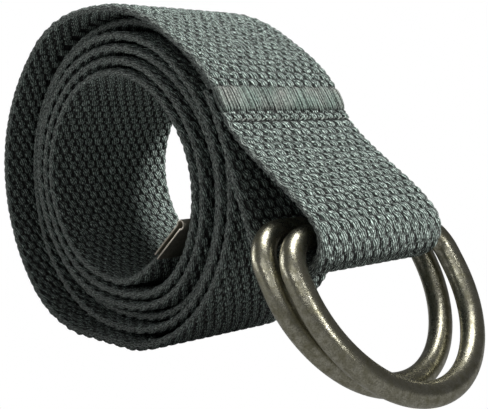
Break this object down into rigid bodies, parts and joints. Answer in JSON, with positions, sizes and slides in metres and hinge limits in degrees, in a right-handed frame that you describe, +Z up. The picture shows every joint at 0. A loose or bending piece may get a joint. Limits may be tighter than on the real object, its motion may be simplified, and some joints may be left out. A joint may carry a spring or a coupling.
{
  "type": "double ring belt",
  "caption": "Woven webbing belt with a double D-ring buckle and a folded metal tip, rolled up and lying on its outer turn.",
  "frame": {"origin": "middle of the footprint's bounding box, on the surface that the belt rests on", "axes": "+Z up, +X from the roll towards the loop and the rings, Y along the roll's axis and across the webbing's width"},
  "size_m": [0.1306, 0.0524, 0.0801],
  "materials": {
    "webbing": "coarse woven cotton",
    "aged_nickel": "aged nickel plate, satin",
    "tip_nickel": "aged nickel plate, satin"
  },
  "bodies": {
    "webbing": {"strap": "webbing", "tip_clip": "tip_nickel"},
    "front_ring": {"ring_front": "aged_nickel"},
    "back_ring": {"ring_back": "aged_nickel"}
  },
  "joints": [
    {"name": "ring_front_swing", "type": "hinge", "parent": "webbing", "child": "front_ring", "pos_m": [0.04305, 0, 0.0319], "axis": [0, -1, 0], "range_deg": [0, 180]},
    {"name": "ring_back_swing", "type": "hinge", "parent": "webbing", "child": "back_ring", "pos_m": [0.03555, 0, 0.0323], "axis": [0, -1, 0], "range_deg": [0, 3.5]}
  ]
}
